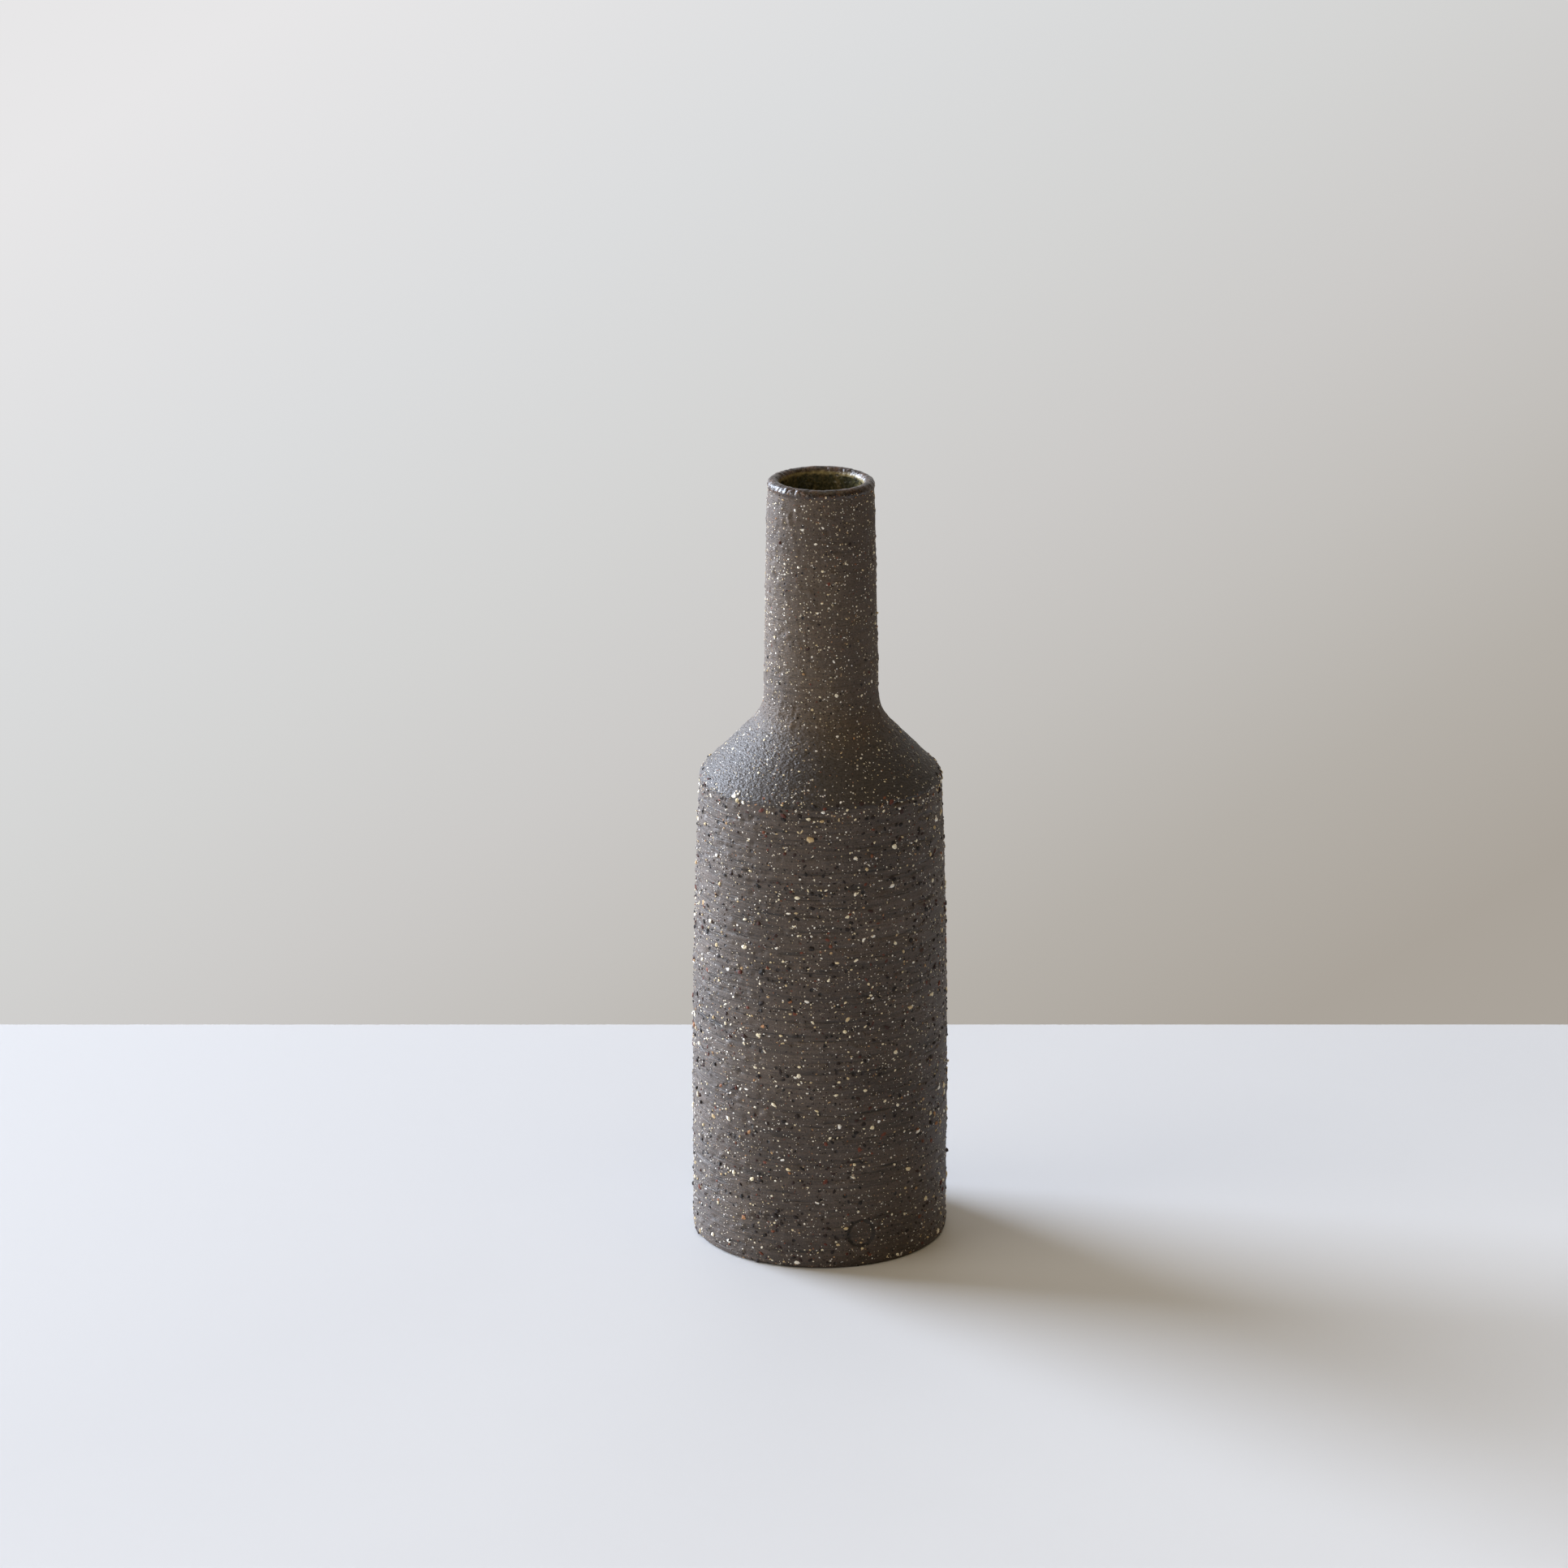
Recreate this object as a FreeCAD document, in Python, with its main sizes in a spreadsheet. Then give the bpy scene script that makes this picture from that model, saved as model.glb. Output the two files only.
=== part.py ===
import FreeCAD, Part
import math
import os
import re

import Sketcher

# A wheel-thrown stoneware bottle vase: three clay sections luted together with slip, and two
# coats of glaze. Each piece is turned about +Z, so every outline below is a half section whose
# corners are (radius, height). The origin is the centre of the foot, on the plane that the vase
# stands on, and -Y is the front. Sizes are in mm.

SIZES = [
    ("height", 215.0, "foot to the top of the glazed lip"),
    ("body_radius", 35.3, "outside radius of the straight lower wall"),
    ("straight_height", 45.0, "height at which the wall starts to draw in"),
    ("shoulder_radius", 33.2, "outside radius at the shoulder's arris"),
    ("shoulder_height", 132.4, "height of the arris before it is rounded"),
    ("shoulder_round", 2.0, "radius on the arris"),
    ("neck_root_radius", 15.6, "outside radius where the neck starts"),
    ("neck_root_height", 150.2, "height where the cone would meet the neck"),
    ("neck_root_round", 13.5, "radius of the hollow curve between cone and neck"),
    ("neck_radius", 14.65, "outside radius just below the lip"),
    ("lip_draw", 7.5, "how far below the top the neck draws in to the lip"),
    ("lip_band", 3.4, "how far below the top the lip's upright band starts"),
    ("lip_radius", 14.4, "outside radius of the clay lip"),
    ("bore_radius", 11.65, "radius of the neck's bore in clay"),
    ("wall", 4.6, "thickness of the body's wall"),
    ("floor_height", 6.5, "top of the clay floor"),
    ("floor_round", 8.0, "radius inside, between floor and wall"),
    ("inner_shoulder", 129.2, "height where the inside turns from wall to cone"),
    ("inner_root", 146.7, "height where the inner cone would meet the bore"),
    ("inner_root_round", 6.0, "radius between inner cone and bore"),
    ("foot_recess", 1.0, "depth turned out of the middle of the base"),
    ("foot_ring", 8.0, "width of the ring that the vase stands on"),
    ("foot_round", 1.2, "radius on the foot's outer edge"),
    ("wall_seam", 131.2, "height of the lower joint outside"),
    ("wall_lap_radius", 31.0, "radius of the lower joint's step"),
    ("collar_seam", 156.0, "height of the upper joint outside"),
    ("collar_lap_radius", 13.7, "radius of the upper joint's step"),
    ("lap_depth", 4.0, "height of the step in both joints"),
    ("slip", 0.3, "thickness of the slip in the joints"),
    ("glaze", 0.35, "thickness of the glaze inside"),
    ("rim_coat", 0.2, "thickness of the glaze outside the lip"),
    ("glaze_pool", 1.0, "depth of the glaze that ran down to the floor"),
    ("liner_drop", 1.9, "how far below the top the liner meets the lip's glaze"),
    ("rim_drop", 0.7, "how far the lip's glaze runs down outside its upright band"),
    ("rim_feather", 0.6, "height over which that glaze thins to its edge"),
    ("seal_radius", 4.0, "radius of the potter's plain round seal"),
    ("seal_depth", 0.6, "how deep the seal is pressed into the wall"),
    ("seal_height", 9.7, "height of the seal's centre"),
    ("seal_angle", 18.7, "turn of the seal about +Z from the front, in degrees"),
]
LIP_CENTRE = "height - (lip_radius + rim_coat - bore_radius + glaze) / 2"

doc = FreeCAD.newDocument("stoneware_vase")
sheet = doc.addObject("Spreadsheet::Sheet", "Sizes")
for row, (alias, number, meaning) in enumerate(SIZES, start=1):
    sheet.set(f"A{row}", alias)
    sheet.set(f"B{row}", str(number))
    sheet.set(f"C{row}", meaning)
    sheet.setAlias(f"B{row}", alias)
doc.recompute()


# ---- outlines: corners bound to the sheet, and sketches made from them


def bound(text):
    """The same sum, with each size read from the sheet."""
    return re.sub(r"([a-z]\w+)", r"Sizes.\1", text)


def value(text):
    """What the sum comes to now, for drawing a sketch where its constraints will hold it."""
    return float(sheet.evalExpression(bound(text)))


def corner(radius, height, rounded=None, arc=False):
    """A corner of a half section. rounded is the radius on the corner itself. arc bends the
    side that leaves the corner, about a centre level with the corner."""
    return {"radius": radius, "height": height, "rounded": rounded, "arc": arc}


def spot(place):
    return FreeCAD.Vector(value(place["radius"]), value(place["height"]), 0)


def level_arc(start, end):
    """The arc from start to end whose centre is level with start. A half circle bows upwards."""
    width = end.x - start.x
    rise = end.y - start.y
    centre = FreeCAD.Vector((end.x**2 - start.x**2 + rise**2) / (2 * width), start.y, 0)
    outward = (start + end) / 2 - centre
    if outward.Length < 1e-6:
        outward = FreeCAD.Vector(0, 1, 0)
    middle = centre + outward.normalize() * (start - centre).Length
    return Part.Arc(start, middle, end)


def corner_arc(before, at, after, radius):
    """The arc that rounds a corner, and the two points where it touches the corner's sides."""
    back = (before - at).normalize()
    forward = (after - at).normalize()
    half = back.getAngle(forward) / 2
    first = at + back * (radius / math.tan(half))
    last = at + forward * (radius / math.tan(half))
    inward = (back + forward).normalize()
    middle = at + inward * (radius / math.sin(half) - radius)
    return Part.Arc(first, middle, last), first, last


def end_at(sketch, side, point):
    """Which end of a side, 1 or 2, lies at the point."""
    return min((1, 2), key=lambda end: (sketch.getPoint(side, end) - point).Length)


def tie(sketch, name, kind, side, end, text):
    """Holds one point's radius or height at a sum of sizes from the sheet."""
    number = value(text)
    if abs(number) < 1e-9:
        axis = -2 if kind == "DistanceX" else -1
        sketch.addConstraint(Sketcher.Constraint("PointOnObject", side, end, axis))
        return
    index = sketch.addConstraint(Sketcher.Constraint(kind, -1, 1, side, end, number))
    sketch.renameConstraint(index, name)
    sketch.setExpression(f"Constraints.{name}", bound(text))


def half_section(body, name, corners):
    """A closed sketch in the body's XZ plane, fully held by the sheet's sizes."""
    sketch = body.newObject("Sketcher::SketchObject", name)
    sketch.AttachmentSupport = [(origin_plane(body, "XZ_Plane"), "")]
    sketch.MapMode = "FlatFace"
    spots = [spot(place) for place in corners]
    rounds = {}
    for i, place in enumerate(corners):
        if place["rounded"]:
            following = spots[(i + 1) % len(spots)]
            rounds[i] = corner_arc(spots[i - 1], spots[i], following, value(place["rounded"]))
    sides = []
    for i, place in enumerate(corners):
        j = (i + 1) % len(corners)
        start = rounds[i][2] if i in rounds else spots[i]
        end = rounds[j][1] if j in rounds else spots[j]
        shape = level_arc(start, end) if place["arc"] else Part.LineSegment(start, end)
        side = sketch.addGeometry(shape, False)
        sides.append((side, end_at(sketch, side, start), end_at(sketch, side, end)))
    for i, place in enumerate(corners):
        side, side_start, _ = sides[i]
        previous, _, previous_end = sides[i - 1]
        if i in rounds:
            arc = sketch.addGeometry(rounds[i][0], False)
            first_end = end_at(sketch, arc, rounds[i][1])
            last_end = end_at(sketch, arc, rounds[i][2])
            sketch.addConstraint(
                Sketcher.Constraint("Tangent", previous, previous_end, arc, first_end)
            )
            sketch.addConstraint(Sketcher.Constraint("Tangent", side, side_start, arc, last_end))
            index = sketch.addConstraint(
                Sketcher.Constraint("Radius", arc, value(place["rounded"]))
            )
            sketch.renameConstraint(index, f"round_{i}")
            sketch.setExpression(f"Constraints.round_{i}", bound(place["rounded"]))
            mark = sketch.addGeometry(Part.Point(spots[i]), True)
            sketch.addConstraint(Sketcher.Constraint("PointOnObject", mark, 1, previous))
            sketch.addConstraint(Sketcher.Constraint("PointOnObject", mark, 1, side))
            held, held_end = mark, 1
        else:
            sketch.addConstraint(
                Sketcher.Constraint("Coincident", previous, previous_end, side, side_start)
            )
            held, held_end = side, side_start
        tie(sketch, f"radius_{i}", "DistanceX", held, held_end, place["radius"])
        tie(sketch, f"height_{i}", "DistanceY", held, held_end, place["height"])
        if place["arc"]:
            sketch.addConstraint(Sketcher.Constraint("Horizontal", side, 3, side, side_start))
    return sketch


def origin_plane(body, role):
    return next(face for face in body.Origin.OriginFeatures if face.Role == role)


def turned(label, corners):
    """A body made by turning a half section about +Z."""
    body = doc.addObject("PartDesign::Body", label)
    body.Label = label
    sketch = half_section(body, label + "_outline", corners)
    turn = body.newObject("PartDesign::Revolution", label + "_turned")
    turn.Profile = sketch
    turn.ReferenceAxis = (sketch, ["V_Axis"])
    turn.Angle = 360
    sketch.Visibility = False
    doc.recompute()
    return body


def hollowed(body, corners):
    """Turns a hollow out of the body, and makes sure that the cut took clay away."""
    before = body.Shape.Volume
    sketch = half_section(body, body.Label + "_hollow_outline", corners)
    cut = body.newObject("PartDesign::Groove", body.Label + "_hollow")
    cut.Profile = sketch
    cut.ReferenceAxis = (sketch, ["V_Axis"])
    cut.Angle = 360
    doc.recompute()
    if body.Shape.Volume > before - 1:
        raise RuntimeError(f"{body.Label}: the hollow cut nothing")


def inside(coat, floor, top):
    """The vase's inside, less a coat of glaze on its walls, from the floor up to top."""
    wall_radius = f"body_radius - wall - {coat}"
    upper_radius = f"shoulder_radius - wall - {coat}"
    return [
        corner("0", floor),
        corner(wall_radius, floor, rounded=f"floor_round - {coat}"),
        corner(wall_radius, "straight_height", arc=True),
        corner(upper_radius, "wall_seam - lap_depth"),
        corner(upper_radius, f"inner_shoulder - {coat} * 0.41"),
        corner(f"bore_radius - {coat}", f"inner_root - {coat} * 0.41",
               rounded=f"inner_root_round + {coat}"),
        corner(f"bore_radius - {coat}", top),
        corner("0", top),
    ]


# ---- body: the thrown cylinder with its floor. Its rim has a step that the shoulder sits in.

thrown_body = turned("thrown_body", [
    corner("0", "foot_recess"),
    corner("body_radius - foot_ring", "foot_recess"),
    corner("body_radius - foot_ring + foot_recess", "0"),
    corner("body_radius", "0", rounded="foot_round"),
    corner("body_radius", "straight_height", arc=True),
    corner("shoulder_radius", "wall_seam"),
    corner("wall_lap_radius", "wall_seam"),
    corner("wall_lap_radius", "wall_seam - lap_depth"),
    corner("0", "wall_seam - lap_depth"),
])
hollowed(thrown_body, inside("0", "floor_height", "height"))

# The potter's seal is a plain disc pressed into the wall near the foot.
seal = thrown_body.newObject("Sketcher::SketchObject", "seal_outline")
seal.AttachmentSupport = [(origin_plane(thrown_body, "XZ_Plane"), "")]
seal.MapMode = "FlatFace"
seal.AttachmentOffset = FreeCAD.Placement(
    FreeCAD.Vector(),
    FreeCAD.Rotation(FreeCAD.Vector(0, 1, 0), value("seal_angle")),
)
seal_plane = "(Sizes.body_radius - Sizes.seal_depth)"
seal.setExpression("AttachmentOffset.Base.x", f"{seal_plane} * sin(Sizes.seal_angle)")
seal.setExpression("AttachmentOffset.Base.z", f"{seal_plane} * cos(Sizes.seal_angle)")
seal.setExpression("AttachmentOffset.Rotation.Angle", "Sizes.seal_angle")
seal_centre = FreeCAD.Vector(0, value("seal_height"), 0)
upright = FreeCAD.Vector(0, 0, 1)
disc = seal.addGeometry(Part.Circle(seal_centre, upright, value("seal_radius")), False)
seal.addConstraint(Sketcher.Constraint("PointOnObject", disc, 3, -2))
tie(seal, "seal_height", "DistanceY", disc, 3, "seal_height")
seal_size = seal.addConstraint(Sketcher.Constraint("Radius", disc, value("seal_radius")))
seal.renameConstraint(seal_size, "seal_size")
seal.setExpression("Constraints.seal_size", "Sizes.seal_radius")
doc.recompute()
unpressed = thrown_body.Shape.Volume
press = thrown_body.newObject("PartDesign::Pocket", "seal_pressed")
press.Profile = seal
press.Reversed = True
press.setExpression("Length", "Sizes.seal_depth * 4")
doc.recompute()
if thrown_body.Shape.Volume > unpressed - 1:
    raise RuntimeError("the seal cut nothing")

# ---- shoulder: a collared cone. Its skirt sits in the body's step, its collar takes the neck.

shoulder_cone = turned("shoulder_cone", [
    corner("0", "wall_seam - lap_depth + slip"),
    corner("wall_lap_radius - slip", "wall_seam - lap_depth + slip"),
    corner("wall_lap_radius - slip", "wall_seam + slip"),
    corner("shoulder_radius", "wall_seam + slip"),
    corner("shoulder_radius", "shoulder_height", rounded="shoulder_round"),
    corner("neck_root_radius", "neck_root_height", rounded="neck_root_round"),
    corner("neck_root_radius", "collar_seam"),
    corner("collar_lap_radius", "collar_seam"),
    corner("collar_lap_radius", "collar_seam - lap_depth"),
    corner("0", "collar_seam - lap_depth"),
])
hollowed(shoulder_cone, inside("0", "floor_height", "height"))

# ---- neck: a thrown tube, tapered, drawn in at the top to a half-round lip

neck_tube = turned("neck_tube", [
    corner("bore_radius", "collar_seam - lap_depth + slip"),
    corner("collar_lap_radius - slip", "collar_seam - lap_depth + slip"),
    corner("collar_lap_radius - slip", "collar_seam + slip"),
    corner("neck_root_radius", "collar_seam + slip"),
    corner("neck_radius", "height - lip_draw"),
    corner("lip_radius", "height - lip_band"),
    corner("lip_radius", LIP_CENTRE, arc=True),
    corner("bore_radius", LIP_CENTRE),
])


# ---- luting slip: liquid clay that fills each stepped joint, from outside wall to inside wall


def joint_slip(label, seam, step_radius, outer_radius, inner_radius):
    return turned(label, [
        corner(inner_radius, f"{seam} - lap_depth"),
        corner(step_radius, f"{seam} - lap_depth"),
        corner(step_radius, seam),
        corner(outer_radius, seam),
        corner(outer_radius, f"{seam} + slip"),
        corner(f"{step_radius} - slip", f"{seam} + slip"),
        corner(f"{step_radius} - slip", f"{seam} - lap_depth + slip"),
        corner(inner_radius, f"{seam} - lap_depth + slip"),
    ])


shoulder_slip = joint_slip(
    "shoulder_slip", "wall_seam", "wall_lap_radius", "shoulder_radius", "shoulder_radius - wall"
)
neck_slip = joint_slip(
    "neck_slip", "collar_seam", "collar_lap_radius", "neck_root_radius", "bore_radius"
)

# ---- glaze: a liner that was poured in and out, and a dipped coat over the lip

liner_glaze = turned("liner_glaze", inside("0", "floor_height", "height - liner_drop"))
hollowed(liner_glaze, inside("glaze", "floor_height + glaze_pool", "height"))

rim_glaze = turned("rim_glaze", [
    corner("lip_radius", f"{LIP_CENTRE} - rim_drop"),
    corner("lip_radius + rim_coat", f"{LIP_CENTRE} - rim_drop + rim_feather"),
    corner("lip_radius + rim_coat", LIP_CENTRE, arc=True),
    corner("bore_radius - glaze", LIP_CENTRE),
    corner("bore_radius - glaze", "height - liner_drop"),
    corner("bore_radius", "height - liner_drop"),
    corner("bore_radius", LIP_CENTRE, arc=True),
    corner("lip_radius", LIP_CENTRE),
])

# ---- checks and files

pieces = [
    thrown_body, shoulder_slip, shoulder_cone, neck_slip, neck_tube, liner_glaze, rim_glaze
]
doc.recompute()
for thing in doc.Objects:
    if "Invalid" in thing.State or "Error" in thing.State:
        raise RuntimeError(f"{thing.Name} failed to recompute: {thing.State}")
    if thing.TypeId == "Sketcher::SketchObject" and not thing.FullyConstrained:
        raise RuntimeError(f"{thing.Name} is not fully held by its constraints")
for piece in pieces:
    if piece.Shape.isNull() or not piece.Shape.isValid() or len(piece.Shape.Solids) != 1:
        raise RuntimeError(f"{piece.Label} is not one valid solid")

os.makedirs("parts", exist_ok=True)
for piece in pieces:
    piece.Shape.exportStep(f"parts/{piece.Label}.step")
    box = piece.Shape.BoundBox
    print(f"{piece.Label}: z {box.ZMin:.2f} to {box.ZMax:.2f}, width {box.XLength:.2f},"
          f" volume {piece.Shape.Volume:.0f} mm3")
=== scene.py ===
import math

import bmesh
import bpy
import numpy as np
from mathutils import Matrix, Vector


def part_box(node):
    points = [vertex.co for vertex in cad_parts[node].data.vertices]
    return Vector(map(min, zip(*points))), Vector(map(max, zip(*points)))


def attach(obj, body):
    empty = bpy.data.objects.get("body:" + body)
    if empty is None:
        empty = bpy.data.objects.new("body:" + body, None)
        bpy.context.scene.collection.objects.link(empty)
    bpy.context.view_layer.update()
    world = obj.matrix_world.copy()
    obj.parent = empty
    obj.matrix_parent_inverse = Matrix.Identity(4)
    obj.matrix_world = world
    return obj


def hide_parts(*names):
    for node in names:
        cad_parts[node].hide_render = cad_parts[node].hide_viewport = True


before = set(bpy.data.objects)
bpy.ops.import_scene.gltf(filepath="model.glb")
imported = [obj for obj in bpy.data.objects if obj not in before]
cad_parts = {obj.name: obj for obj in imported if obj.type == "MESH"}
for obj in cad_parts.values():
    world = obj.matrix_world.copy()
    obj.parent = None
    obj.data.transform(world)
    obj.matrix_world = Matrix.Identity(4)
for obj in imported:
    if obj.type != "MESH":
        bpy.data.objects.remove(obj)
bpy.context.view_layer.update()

# ---- Thrown body ---------------------------------------------------------------------------
# A thick cylinder thrown on the wheel from dark stoneware with 0 to 2 mm grog, then turned with
# a metal tool at leather hard. The tool leaves fine level grooves and drags grains out of the
# wall, and the clay fires to a dry umber brown.

MM = 0.001
FULL_TURN = 2 * math.pi

body_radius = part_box("thrown_body")[1].x
wall_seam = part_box("thrown_body")[1].z
shoulder_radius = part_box("shoulder_cone")[1].x
vase_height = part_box("rim_glaze")[1].z
straight_height = 45 * MM
wall = 4.6 * MM
floor_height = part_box("liner_glaze")[0].z
floor_round = 8 * MM
foot_ring = 8 * MM
foot_recess = 1 * MM
foot_round = 1.2 * MM
lap_radius = 31 * MM
lap_depth = 4 * MM
seal_radius = 4 * MM
seal_depth = 0.5 * MM
seal_height = 9.7 * MM
seal_turn = math.radians(-90 + 18.7)
seal_centre = (body_radius * math.cos(seal_turn), body_radius * math.sin(seal_turn), seal_height)
seal_edge = 0.7 * MM
seal_rim_width = 0.6 * MM
seal_rim_height = 0.09 * MM
arris_height = 132.4 * MM
sponged_from = 141 * MM
sponged_over = 12 * MM
sag_depth = 0.14 * MM


def line(start, end, step):
    """Points from start to end of a half section, about one step apart."""
    start, end = np.array(start), np.array(end)
    count = max(2, int(round(np.linalg.norm(end - start) / step)) + 1)
    return start + (end - start) * np.linspace(0, 1, count)[:, None]


def arc(centre, radius, first, last, step):
    """Points on an arc of a half section. At 0 degrees a point is straight out from the axis."""
    count = max(4, int(radius * math.radians(abs(last - first)) / step) + 1)
    turn = np.radians(np.linspace(first, last, count))
    return np.stack([centre[0] + radius * np.cos(turn), centre[1] + radius * np.sin(turn)], 1)


def joined(*stretches):
    """One outline from stretches that meet end to end, with no point twice."""
    points = np.concatenate(stretches)
    apart = np.linalg.norm(np.diff(points, axis=0), axis=1) > 1e-7
    return points[np.concatenate([[True], apart])]


def drawn_in(lower, upper, step):
    """The wall from (radius, height) lower, where it is upright, to upper, on one large arc."""
    width = upper[0] - lower[0]
    rise = upper[1] - lower[1]
    centre = (upper[0] ** 2 - lower[0] ** 2 + rise**2) / (2 * width)
    radius = lower[0] - centre
    lean = math.degrees(math.asin(rise / radius))
    return arc((centre, lower[1]), radius, 0, lean, step)


def normals(outline):
    """The direction out of the clay at each point of an outline."""
    along = np.gradient(outline, axis=0)
    out = np.stack([along[:, 1], -along[:, 0]], 1)
    return out / np.linalg.norm(out, axis=1)[:, None]


class Ripple:
    """Smooth random waves over turn and height, in -1 to 1. A cell is as wide as a full turn
    divided by around, and cell_height high, so few cells around make level streaks."""

    def __init__(self, seed, around, cell_height):
        rows = int(vase_height / cell_height) + 4
        self.lattice = np.random.default_rng(seed).uniform(-1, 1, (around, rows))
        self.around = around
        self.cell_height = cell_height

    def __call__(self, turn, height):
        across = np.mod(turn, FULL_TURN) / FULL_TURN * self.around
        up = np.clip(height / self.cell_height + 1, 0, self.lattice.shape[1] - 2)
        column = np.floor(across).astype(int) % self.around
        row = np.floor(up).astype(int)
        blend_across = across - np.floor(across)
        blend_up = up - row
        blend_across = blend_across**2 * (3 - 2 * blend_across)
        blend_up = blend_up**2 * (3 - 2 * blend_up)
        following = (column + 1) % self.around
        lower = self.lattice[column, row] * (1 - blend_across)
        lower = lower + self.lattice[following, row] * blend_across
        upper = self.lattice[column, row + 1] * (1 - blend_across)
        upper = upper + self.lattice[following, row + 1] * blend_across
        return lower * (1 - blend_up) + upper * blend_up


class Drags:
    """Level scratches that the turning tool cut by dragging grains along the wall. Each is
    deepest where the grain was caught and shallows out along its tail."""

    def __init__(self, seed, count, low, high, deepest):
        random = np.random.default_rng(seed)
        self.turn = random.uniform(0, FULL_TURN, count)
        self.height = random.uniform(low, high, count)
        self.tail = random.uniform(1.5, 14, count) ** 1.1 * MM
        self.half_width = random.uniform(0.28, 0.5, count) * MM
        self.depth = random.uniform(0.15, 1, count) ** 2 * deepest

    def __call__(self, turn, height, radius):
        cut = np.zeros(np.shape(turn))
        for at, level, tail, half_width, depth in zip(
            self.turn, self.height, self.tail, self.half_width, self.depth
        ):
            near = np.abs(height - level) < 2.5 * half_width
            if not near.any():
                continue
            along = np.mod(turn[near] - at + math.pi, FULL_TURN) - math.pi
            along = along * radius[near]
            start = np.clip(1 + along / half_width, 0, 1)
            fade = np.clip(1 - along / tail, 0, 1)
            across = np.exp(-(((height[near] - level) / half_width) ** 2))
            cut[near] = np.maximum(cut[near], depth * np.minimum(start, fade) * across)
        return cut


class Grains:
    """Grains under the skin: each lifts a soft bump, or leaves a pit where it was torn out."""

    def __init__(self, seed, count, low, high):
        random = np.random.default_rng(seed)
        self.turn = random.uniform(0, FULL_TURN, count)
        self.height = random.uniform(low, high, count)
        self.half_width = random.uniform(0.45, 0.95, count) * MM
        self.lift = random.choice([-1, 1], count) * random.uniform(0.15, 0.5, count) * MM

    def __call__(self, turn, height, radius):
        lifted = np.zeros(np.shape(turn))
        for at, level, half_width, lift in zip(self.turn, self.height, self.half_width, self.lift):
            near = np.abs(height - level) < 2 * half_width
            if not near.any():
                continue
            along = (np.mod(turn[near] - at + math.pi, FULL_TURN) - math.pi) * radius[near]
            away = (along**2 + (height[near] - level) ** 2) / half_width**2
            lifted[near] += lift * np.exp(-away * 1.5)
        return lifted


sag = Ripple(11, 5, 40 * MM)
throwing_rings = Ripple(12, 6, 4.5 * MM)
tool_marks = Ripple(13, 22, 1.1 * MM)
tool_pressure = Ripple(14, 7, 12 * MM)
rough_skin = Ripple(15, 90, 0.9 * MM)
tool_drags = Drags(16, 900, 3 * MM, wall_seam + 0.6 * MM, 0.42 * MM)
neck_drags = Drags(18, 60, 158 * MM, vase_height - 6 * MM, 0.24 * MM)
skin_grains = Grains(19, 3000, 2 * MM, vase_height - 4 * MM)


def seal_press(turn, height, radius):
    """The potter's plain round seal, with the clay it pushed up around its edge."""
    across = (np.mod(turn - seal_turn + math.pi, FULL_TURN) - math.pi) * radius
    away = np.hypot(across, height - seal_height)
    inside = np.clip((seal_radius - away) / seal_edge + 0.5, 0, 1)
    inside = inside**2 * (3 - 2 * inside)
    pushed_up = np.exp(-(((away - seal_radius - seal_edge) / seal_rim_width) ** 2))
    return pushed_up * seal_rim_height - inside * seal_depth


def skin_relief(turn, height, radius):
    """How far the clay stands out from its true outline, from foot to lip: tooled up to the
    arris, pressed smooth on the cone, and sponged on the neck."""
    tooled = np.clip((arris_height - height) / (1.5 * MM) + 0.6, 0, 1)
    sponged = np.clip((height - sponged_from) / (9 * MM), 0, 1)
    strength = 0.4 + 0.6 * tooled + 0.25 * sponged
    pressure = 0.55 + 0.45 * tool_pressure(turn, height)
    marks = np.clip(tool_marks(turn, height) - 0.1, 0, 1)
    relief = sag(turn, height) * sag_depth + throwing_rings(turn, height) * 0.06 * MM
    relief = relief + (rough_skin(turn, height) * 0.045 * MM - marks * pressure * 0.2 * MM) * strength
    relief = relief + skin_grains(turn, height, radius) * strength
    relief = relief - tool_drags(turn, height, radius) - neck_drags(turn, height, radius)
    return relief + seal_press(turn, height, radius)


def turned(name, outline, around, relief, skin):
    """A mesh turned from an outline that runs up the outside and down the inside. relief moves
    the points along the outline's normal, as much as skin says, from 0 to 1 for each point."""
    open_ended = outline[0][0] < 1e-6
    turn = np.arange(around) * FULL_TURN / around
    turns = np.broadcast_to(turn, (len(outline), around))
    heights = np.broadcast_to(outline[:, 1:], turns.shape)
    radii = np.broadcast_to(outline[:, :1], turns.shape)
    moved = relief(turns, heights, radii) * skin[:, None]
    shown = slice(np.flatnonzero(skin)[0], np.flatnonzero(skin)[-1] + 1)
    out = np.zeros(outline.shape)
    out[shown] = normals(outline[shown])
    radii = radii + moved * out[:, :1]
    heights = np.maximum(heights + moved * out[:, 1:], 0)
    points = np.stack([radii * np.cos(turns), radii * np.sin(turns), heights], -1)
    rows = len(outline) - 1 if open_ended else len(outline)
    near = np.arange(rows)[:, None] * around + np.arange(around)
    beside = np.arange(rows)[:, None] * around + (np.arange(around) + 1) % around
    above = (near + around) % (len(outline) * around)
    above_beside = (beside + around) % (len(outline) * around)
    quads = np.stack([near, beside, above_beside, above], -1).reshape(-1, 4)
    mesh = bpy.data.meshes.new(name)
    mesh.from_pydata(points.reshape(-1, 3).tolist(), [], quads.tolist())
    if open_ended:
        weld = bmesh.new()
        weld.from_mesh(mesh)
        bmesh.ops.remove_doubles(weld, verts=weld.verts, dist=1e-6)
        weld.to_mesh(mesh)
        weld.free()
    mesh.polygons.foreach_set("use_smooth", [True] * len(mesh.polygons))
    mesh.set_sharp_from_angle(angle=math.radians(50))
    piece = bpy.data.objects.new(name, mesh)
    bpy.context.scene.collection.objects.link(piece)
    return piece


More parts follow.
